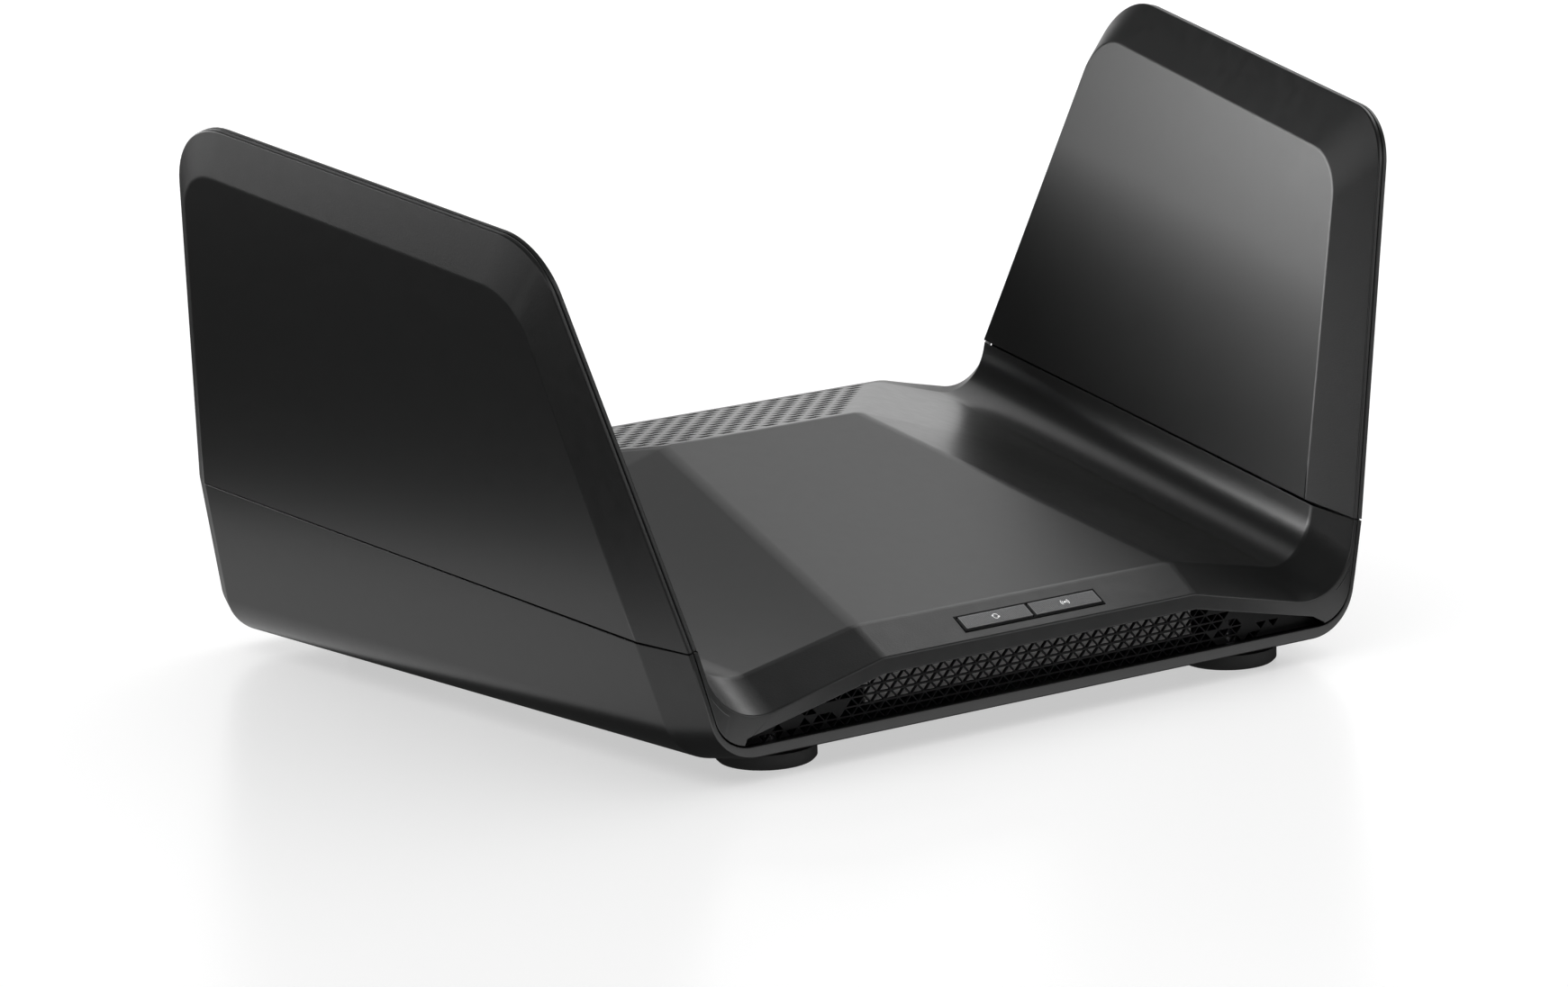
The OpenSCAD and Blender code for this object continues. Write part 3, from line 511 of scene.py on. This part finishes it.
def build_wing_shell(name, side, edge_back, edge_front, panel_n, cavity_n, cavity_edge):
    """Hollow half of a wing: thin edge, bevel and raised panel, open towards the other half."""
    at = at_wing(side)

    def section(corners, radii, inset, n):
        return [at((n, p.x, p.y)) for p in outline(corners, radii, inset)]

    rings = [section(EDGE_CORNERS, EDGE_RADII, 0, edge_back),
             section(EDGE_CORNERS, EDGE_RADII, 0, edge_front),
             section(PANEL_CORNERS, PANEL_RADII, 0, panel_n)]
    hollow = [section(EDGE_CORNERS, EDGE_RADII, EDGE_INSET, edge_back),
              section(EDGE_CORNERS, EDGE_RADII, EDGE_INSET, cavity_edge),
              section(PANEL_CORNERS, PANEL_RADII, PANEL_INSET, cavity_n)]
    bm = bmesh.new()
    weights = weight_layer(bm)
    outside = [[bm.verts.new(p) for p in ring] for ring in rings]
    inside = [[bm.verts.new(p) for p in ring] for ring in hollow]
    count = len(outside[0])
    for stack in (outside, inside):
        for low, high in zip(stack, stack[1:]):
            for i in range(count - 1):
                bm.faces.new((low[i], low[i + 1], high[i + 1], high[i]))
        panel = bm.faces.new(stack[-1])
        panel.material_index = int(stack is outside)
    for i in range(count - 1):
        bm.faces.new((outside[0][i], inside[0][i], inside[0][i + 1], outside[0][i + 1]))
    for i in (0, count - 1):
        bm.faces.new([stack[i] for stack in outside] + [stack[i] for stack in reversed(inside)])
    bm.faces.new([outside[2][0], outside[2][-1], inside[2][-1], inside[2][0]])
    bmesh.ops.recalc_face_normals(bm, faces=bm.faces)
    for ring, weight in zip(outside, (0.3, 0.35, 0.5)):
        for a, b in zip(ring, ring[1:]):
            bm.edges.get((a, b))[weights] = weight
    bm.edges.get((outside[2][0], outside[2][-1]))[weights] = 0.12
    obj = new_object(name, bm)
    add_bevel(obj, 1.0)
    return obj


AXIS_N, AXIS_UP = -5.6, 1.9
KNUCKLES, POCKET_HALF, LEADS, LEAD_GAP = (-60, 64), 5.3, (-30, 30), 3
POCKET_BEHIND, POCKET_N, POCKET_LOW, KNUCKLE_TOP, LEAD_TOP = 0.8, 0.5, -1, 3.9, 6
BARREL_R, BARREL_ENDS, BARREL_SIDES = 1.45, (-80.4, 92.4), 24


def hinge_cutter(side):
    """Pockets for the knuckles and leads, and the barrel's bed, in a wing's inner shell."""
    at = at_wing(side)
    low_n = AXIS_N - POCKET_BEHIND
    bm = bmesh.new()
    for y in KNUCKLES:
        add_box(bm, (low_n, y - POCKET_HALF, POCKET_LOW), (POCKET_N, y + POCKET_HALF, KNUCKLE_TOP), at)
    for y in LEADS:
        add_box(bm, (low_n, y - LEAD_GAP, POCKET_LOW), (POCKET_N, y + LEAD_GAP, LEAD_TOP), at)
    angles = [2 * math.pi * k / BARREL_SIDES for k in range(BARREL_SIDES)]
    near, far = [[bm.verts.new(at((AXIS_N + BARREL_R * math.cos(a), y, AXIS_UP + BARREL_R * math.sin(a))))
                  for a in angles] for y in BARREL_ENDS]
    for k in range(BARREL_SIDES):
        following = (k + 1) % BARREL_SIDES
        bm.faces.new((near[k], near[following], far[following], far[k]))
    bm.faces.new(near)
    bm.faces.new(far)
    bmesh.ops.recalc_face_normals(bm, faces=bm.faces)
    return new_object("hinge_cutter", bm, smooth=False)


SEAL_IN, SEAL_OUT, SEAL_HALF, SEAL_LOW, SEAL_TOP = -1.9, -0.7, 101.1, -0.5, 0.04


def build_seam_lip(side):
    """Low lip on the base's rim that keeps light from showing through the seam under a wing."""
    bm = bmesh.new()
    add_box(bm, (SEAL_IN, -SEAL_HALF, SEAL_LOW), (SEAL_OUT, SEAL_HALF, SEAL_TOP), at_wing(side))
    bmesh.ops.recalc_face_normals(bm, faces=bm.faces)
    return new_object("seam_lip_left" if side < 0 else "seam_lip_right", bm, smooth=False)


# ---- Materials -----------------------------------------------------------------------
def node_material(name):
    """A new material, its node tree and its shader."""
    material = bpy.data.materials.new(name)
    material.use_nodes = True
    tree = material.node_tree
    return material, tree, tree.nodes["Principled BSDF"]


def noise(tree, coords, scale, detail, rough=0.5):
    node = tree.nodes.new("ShaderNodeTexNoise")
    node.inputs["Scale"].default_value = scale
    node.inputs["Detail"].default_value = detail
    node.inputs["Roughness"].default_value = rough
    tree.links.new(coords, node.inputs["Vector"])
    return node.outputs["Fac"]


NOISE_LOW, NOISE_HIGH = 0.3, 0.7


def spread(tree, value, low, high):
    """Noise, which stays mostly between NOISE_LOW and NOISE_HIGH, mapped to low..high."""
    node = tree.nodes.new("ShaderNodeMapRange")
    node.inputs["From Min"].default_value = NOISE_LOW
    node.inputs["From Max"].default_value = NOISE_HIGH
    node.inputs["To Min"].default_value = low
    node.inputs["To Max"].default_value = high
    tree.links.new(value, node.inputs["Value"])
    return node.outputs["Result"]


def tint(tree, factor, dark, light):
    node = tree.nodes.new("ShaderNodeMix")
    node.data_type = "RGBA"
    node.inputs["A"].default_value = (*dark, 1)
    node.inputs["B"].default_value = (*light, 1)
    tree.links.new(factor, node.inputs["Factor"])
    return node.outputs["Result"]


BLOTCH_SCALE, GLOSS_SCALE = 90, 260
# Painted highlight on sharp edges: pointiness from EDGE_FROM to EDGE_TO fades in a lighter colour, the base
# colour times the gain plus the lift.
EDGE_FROM, EDGE_TO = 0.53, 0.62
EDGE_HIGHLIGHT_GAIN, EDGE_HIGHLIGHT_LIFT = 1.35, 0.004


def surface(name, color, rough, grain=2600, bump=0.25, height=0.00003, metal=0.0, vary=0.08, smear=0.025,
            stretch=(1, 1, 1), specular=0.5, coat=0.0):
    """Moulded plastic, rubber or metal: fine grain, faint blotches, uneven gloss and a painted highlight that
    makes sharp edges lighter.
    """
    material, tree, shader = node_material(name)
    coords = tree.nodes.new("ShaderNodeTexCoord").outputs["Object"]
    mapping = tree.nodes.new("ShaderNodeMapping")
    mapping.inputs["Scale"].default_value = stretch
    tree.links.new(coords, mapping.inputs["Vector"])
    grained = mapping.outputs["Vector"]
    blotch = spread(tree, noise(tree, coords, BLOTCH_SCALE, 5.0), 0, 1)
    dark = [c * (1 - vary) for c in color]
    light = [c * (1 + vary) for c in color]
    body = tint(tree, blotch, dark, light)
    # Painted highlight: convex edges, found by their pointiness, are mixed towards a lighter colour.
    edges = tree.nodes.new("ShaderNodeNewGeometry").outputs["Pointiness"]
    highlight_edge_mask = tree.nodes.new("ShaderNodeMapRange")
    highlight_edge_mask.inputs["From Min"].default_value = EDGE_FROM
    highlight_edge_mask.inputs["From Max"].default_value = EDGE_TO
    tree.links.new(edges, highlight_edge_mask.inputs["Value"])
    painted_edge_highlight = tree.nodes.new("ShaderNodeMix")
    painted_edge_highlight.data_type = "RGBA"
    painted_edge_highlight.inputs["B"].default_value = (*[min(1, c * EDGE_HIGHLIGHT_GAIN + EDGE_HIGHLIGHT_LIFT) for c in color], 1)
    tree.links.new(highlight_edge_mask.outputs["Result"], painted_edge_highlight.inputs["Factor"])
    tree.links.new(body, painted_edge_highlight.inputs["A"])
    tree.links.new(painted_edge_highlight.outputs["Result"], shader.inputs["Base Color"])
    tree.links.new(spread(tree, noise(tree, coords, GLOSS_SCALE, 5.0), rough - smear, rough + smear),
                   shader.inputs["Roughness"])
    bumps = tree.nodes.new("ShaderNodeBump")
    bumps.inputs["Strength"].default_value = bump
    bumps.inputs["Distance"].default_value = height
    tree.links.new(noise(tree, grained, grain, 3.0, 0.6), bumps.inputs["Height"])
    tree.links.new(bumps.outputs["Normal"], shader.inputs["Normal"])
    shader.inputs["Metallic"].default_value = metal
    shader.inputs["Specular IOR Level"].default_value = specular
    shader.inputs["Coat Weight"].default_value = coat
    return material


CHARCOAL = (0.007, 0.0072, 0.0072)


def make_materials():
    return {
        "shell": surface("charcoal_grained", CHARCOAL, 0.38, grain=2200, bump=0.5, height=0.00005),
        "satin": surface("charcoal_satin", CHARCOAL, 0.32, grain=5000, bump=0.15, height=0.00002, vary=0.04,
                         smear=0.012),
        "bezel": surface("bezel_black", (0.002, 0.002, 0.002), 0.5, bump=0.1, specular=0.06),
        "grille": surface("grille_black", (0.004, 0.004, 0.0042), 0.5, bump=0.3, specular=0.12),
        "backplate": surface("backplate_grey", (0.34, 0.335, 0.33), 0.5),
        "panel": surface("panel_black", (0.012, 0.012, 0.0125), 0.45, bump=0.5),
        "black": surface("small_parts_black", (0.010, 0.010, 0.010), 0.4, bump=0.4),
        "button": surface("button_grey", (0.085, 0.086, 0.087), 0.4, grain=1800, bump=0.7, height=0.00005,
                          stretch=(3.0, 0.5, 0.5)),
        "icon": surface("icon_white", (0.72, 0.72, 0.72), 0.5, bump=0.1),
        "board": surface("board_green", (0.01, 0.07, 0.035), 0.3, grain=700, coat=0.3),
        "nickel": surface("nickel", (0.55, 0.55, 0.56), 0.28, metal=1.0, stretch=(0.05, 1, 1)),
        "hinge": surface("dark_steel", (0.12, 0.12, 0.125), 0.35, metal=1.0, stretch=(1, 0.05, 1)),
        "screw": surface("zinc", (0.45, 0.45, 0.46), 0.3, metal=1.0),
        "aluminium": surface("bead_blasted_aluminium", (0.62, 0.63, 0.64), 0.42, grain=3500, metal=1.0),
        "pad": surface("thermal_pad", (0.35, 0.4, 0.48), 0.7),
        "rubber": surface("foot_rubber", (0.018, 0.018, 0.018), 0.75, grain=1500, bump=0.6),
        "label": surface("blank_label", (0.6, 0.6, 0.59), 0.5, bump=0.1),
        "jacket": surface("coax_jacket", (0.012, 0.012, 0.012), 0.45),
    }


def paint(obj, *materials):
    """Gives a piece its materials, in the order of its faces' slots."""
    for i, material in enumerate(materials):
        if i < len(obj.data.materials):
            obj.data.materials[i] = material
        else:
            obj.data.materials.append(material)


def paint_node(name, material):
    """Gives a CAD node its material."""
    obj = nodes[name]
    if not obj.material_slots:
        obj.data.materials.append(material)
    for slot in obj.material_slots:
        slot.material = material


WELD_WITHIN = 0.000002


def round_node(name, width):
    """Welds a CAD node's split corners and rounds its edges a little."""
    obj = nodes[name]
    weld = obj.modifiers.new("weld", "WELD")
    weld.merge_threshold = WELD_WITHIN
    add_bevel(obj, width, segments=2, by_weight=False)


# ---- Buttons ------------------------------------------------------------------------
CAP_PROUD, CAP_BELOW, CAP_BEVEL = 0.35, 0.35, 0.05
RIBS, RIB_H, RIB_DEPTH, RIB_INSET, RIB_FILL, RIB_START, RIB_ENDS = 46, 0.06, 0.2, 0.35, 0.55, 1.1, 1.5
FLANGE_OUT, FLANGE_TOP, FLANGE_BOTTOM = 0.25, 0.3, 1.0


def at_button(x_mid):
    """A map from a button's own frame into the model."""
    def at(p):
        return on_band(Vector((x_mid + p.x, p.y, p.z)))

    return at


def build_cap(name, x_mid):
    """Button cap with rounded edges, fine ribs on its top and a flange under the rim."""
    at = at_button(x_mid)
    half_l, half_w = BUTTON_L / 2, BUTTON_W / 2
    bm = bmesh.new()
    add_box(bm, (-half_l, -half_w, -BEZEL_DEPTH - CAP_BELOW), (half_l, half_w, CAP_PROUD - RIB_H), at)
    pitch = BUTTON_L / (RIBS + RIB_ENDS)
    for k in range(RIBS):
        x = -half_l + pitch * (k + RIB_START)
        add_box(bm, (x, -half_w + RIB_INSET, CAP_PROUD - RIB_DEPTH),
                (x + pitch * RIB_FILL, half_w - RIB_INSET, CAP_PROUD), at)
    add_box(bm, (-half_l - FLANGE_OUT, -half_w - FLANGE_OUT, -BEZEL_DEPTH - FLANGE_BOTTOM),
            (half_l + FLANGE_OUT, half_w + FLANGE_OUT, -BEZEL_DEPTH - FLANGE_TOP), at)
    bmesh.ops.recalc_face_normals(bm, faces=bm.faces)
    obj = new_object(name, bm, smooth=False)
    add_bevel(obj, CAP_BEVEL, segments=2, by_weight=False)
    return obj


ICON_T, ICON_SUNK = 0.04, 0.02


def add_arc(bm, at, centre, radius, width, start, end, steps=14):
    """A flat raised arc of an icon."""
    z0, z1 = CAP_PROUD - ICON_SUNK, CAP_PROUD + ICON_T
    rings = []
    for k in range(steps + 1):
        a = math.radians(start + (end - start) * k / steps)
        rim = [(r, z) for r in (radius - width / 2, radius + width / 2) for z in (z0, z1)]
        rings.append([bm.verts.new(at(Vector((centre[0] + r * math.cos(a), centre[1] + r * math.sin(a), z))))
                      for r, z in rim])
    for a, b in zip(rings, rings[1:]):
        for i, j in ((0, 1), (1, 3), (3, 2), (2, 0)):
            bm.faces.new((a[i], a[j], b[j], b[i]))
    for ring in (rings[0], rings[-1]):
        bm.faces.new((ring[0], ring[1], ring[3], ring[2]))


def build_icon(name, x_mid, kind):
    """Raised generic icon: a dot between waves, or two turning arcs with round heads."""
    at = at_button(x_mid)
    bm = bmesh.new()
    if kind == "waves":
        add_arc(bm, at, (0, 0), 0.18, 0.34, 0, 360, 18)
        for radius in (0.72, 1.2):
            add_arc(bm, at, (0, 0), radius, 0.2, -42, 42)
            add_arc(bm, at, (0, 0), radius, 0.2, 138, 222)
    else:
        for turn in (0, 180):
            add_arc(bm, at, (0, 0), 0.85, 0.18, turn + 20, turn + 150)
            c, s = math.cos(math.radians(turn + 160)), math.sin(math.radians(turn + 160))
            add_arc(bm, at, (0.85 * c, 0.85 * s), 0.16, 0.3, 0, 360, 12)
    bmesh.ops.recalc_face_normals(bm, faces=bm.faces)
    return new_object(name, bm, smooth=False)


# ---- Stage ----------------------------------------------------------------------------
def add_card(name, at, target, size, radiance, glossy_only=True):
    """An even light card, unseen by the camera, for reflections or else for matt surfaces only."""
    data = bpy.data.lights.new(name, "AREA")
    data.shape = "RECTANGLE"
    data.size, data.size_y = size
    data.energy = radiance * math.pi * size[0] * size[1]
    light = bpy.data.objects.new(name, data)
    light.location = at
    light.rotation_euler = (Vector(target) - Vector(at)).to_track_quat("-Z", "Y").to_euler()
    light.visible_camera = False
    light.visible_diffuse = not glossy_only
    light.visible_glossy = glossy_only
    collection.objects.link(light)


FLOOR_HALF = 12000
FLAG_LOW, FLAG_HIGH = (-80, 200, 78), (90, 202, 128)


def add_floor():
    """Pale light-table floor. Reflections in the object come from the cards, not from the floor."""
    corners = ((-FLOOR_HALF, -FLOOR_HALF), (FLOOR_HALF, -FLOOR_HALF), (FLOOR_HALF, FLOOR_HALF),
               (-FLOOR_HALF, FLOOR_HALF))
    bm = bmesh.new()
    bm.faces.new([bm.verts.new((x, y, 0)) for x, y in corners])
    floor = new_object("floor", bm, smooth=False)
    material, _, shader = node_material("pale_floor")
    shader.inputs["Base Color"].default_value = (0.38, 0.38, 0.38, 1)
    shader.inputs["Emission Color"].default_value = (1, 1, 1, 1)
    shader.inputs["Emission Strength"].default_value = 0.55
    shader.inputs["Roughness"].default_value = 0.28
    shader.inputs["IOR"].default_value = 1.28
    paint(floor, material)
    floor.visible_glossy = False


def add_flag():
    """Black flag behind the router that darkens the reflections in the right valley."""
    bm = bmesh.new()
    add_box(bm, FLAG_LOW, FLAG_HIGH)
    flag = new_object("valley_flag", bm, smooth=False)
    black, _, shader = node_material("flag_black")
    shader.inputs["Base Color"].default_value = (0, 0, 0, 1)
    shader.inputs["Specular IOR Level"].default_value = 0
    paint(flag, black)
    flag.visible_camera = False
    flag.visible_diffuse = False


WORLD_LIGHT, FLOOR_CARD_Z = 0.04, 0.0006


def add_floor_card(name, x, y, size, radiance):
    """A card that lies on the floor and shines upwards."""
    add_card(name, (x, y, FLOOR_CARD_Z), (x, y, 1), size, radiance)


def add_lights():
    """Dim surroundings, and cards placed for what each surface reflects at the photo's angle."""
    scene = bpy.context.scene
    world = bpy.data.worlds.new("studio")
    scene.world = world
    world.use_nodes = True
    background = world.node_tree.nodes["Background"]
    background.inputs["Color"].default_value = (1, 1, 1, 1)
    background.inputs["Strength"].default_value = WORLD_LIGHT
    add_card("top_light", (0.1, 0.2, 3.0), (0, 0, 0), (7.0, 7.0), 1.7, glossy_only=False)
    add_card("back_right_low", (1.6, 2.2, 0.35), (0, 0, 0.1), (3.2, 1.1), 1.2)
    add_card("back_right_high", (1.35, 1.55, 1.45), (0, 0, 0.1), (2.6, 1.1), 0.95)
    add_card("overhead", (1.05, 0.35, 1.15), (0, 0, 0.06), (0.9, 0.8), 2.2)
    add_card("back_left", (-0.415, 0.6, 0.275), (-0.1, -0.1, 0.2), (0.45, 0.19), 10.0)
    add_floor_card("floor_near", -0.147, 0.08, (0.062, 0.5), 0.75)
    add_floor_card("floor_far", -1.0, 0.5, (0.86, 1.4), 2.8)
    add_floor_card("floor_front", 0.02, -0.135, (0.34, 0.05), 1.6)
    for x in (-1.6, 1.7):
        add_card("front", (x, -2.0, 0.95), (0, 0, 0.08), (1.7, 1.2), 2.2)
    scene.view_settings.view_transform = "Standard"


# ---- Assembly ------------------------------------------------------------------------
add_camera()
look = make_materials()

bottom_shell = build_bottom_case()
paint(bottom_shell, look["shell"], look["satin"])
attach(bottom_shell, "base")
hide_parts("bottom_case")

cover_shell = build_top_cover()
paint(cover_shell, look["shell"], look["satin"])
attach(cover_shell, "base")
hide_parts("top_cover")

for side, word in ((-1, "left"), (1, "right")):
    lip = build_seam_lip(side)
    paint(lip, look["grille"])
    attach(lip, "base")
    outer = build_wing_shell(f"outer_shell_{word}", side, -HALF_EDGE, 0.0, PROUD, PROUD - WALL, -EDGE_FLOOR)
    settle(outer)
    inner = build_wing_shell(f"inner_shell_{word}", side, -HALF_EDGE - GROOVE, -EDGE_T, INNER_N,
                             INNER_N + WALL, -EDGE_T + EDGE_FLOOR)
    cutter = hinge_cutter(side)
    cut(inner, cutter)
    settle(inner, cutter)
    for obj, node in ((outer, f"wing_outer_{word}"), (inner, f"wing_inner_{word}")):
        paint(obj, look["shell"], look["satin"])
        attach(obj, f"wing_{word}")
        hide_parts(node)

for side, word, kind in ((-1, "wps", "arrows"), (1, "wifi", "waves")):
    x_mid = side * (CELL_L + RIM) / 2
    cap = build_cap(f"{word}_cap", x_mid)
    paint(cap, look["button"])
    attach(cap, f"{word}_button")
    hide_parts(f"{word}_button")
    icon = build_icon(f"{word}_icon", x_mid, kind)
    paint(icon, look["icon"])
    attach(icon, f"{word}_button")

NODE_LOOK = {
    "front_grille": "grille", "grille_backplate": "backplate", "rear_panel": "panel", "main_board": "board",
    "network_jacks": "nickel", "usb_sockets": "nickel", "dc_jack": "black", "power_button": "black",
    "power_switch": "black", "reset_button": "black", "reset_switch": "nickel", "button_bezel": "bezel",
    "button_board": "board", "button_switches": "nickel", "heat_sink_cpu": "aluminium",
    "heat_sink_radio": "aluminium", "shield_cans": "nickel", "thermal_pads": "pad", "rubber_feet": "rubber",
    "case_screws": "screw", "board_screws": "screw", "label_plate": "label",
}
PREFIX_LOOK = {
    "hinge_leaf": "shell", "hinge": "hinge", "antenna": "board", "base_leads": "jacket",
    "wing_leads": "jacket", "leaf_screws": "screw", "base_leaf_screws": "screw",
}
ROUNDED = {
    "front_grille": 0.12, "rear_panel": 0.2, "network_jacks": 0.2, "usb_sockets": 0.12, "dc_jack": 0.2,
    "power_button": 0.4, "button_bezel": 0.12, "rubber_feet": 0.3,
}
replaced = {"bottom_case", "top_cover", "wifi_button", "wps_button"}
for name in nodes:
    if name in replaced or name.startswith(("wing_outer", "wing_inner")):
        continue
    key = NODE_LOOK.get(name) or next(v for k, v in PREFIX_LOOK.items() if name.startswith(k))
    paint_node(name, look[key])
for name, width in ROUNDED.items():
    round_node(name, width)

add_floor()
add_flag()
add_lights()
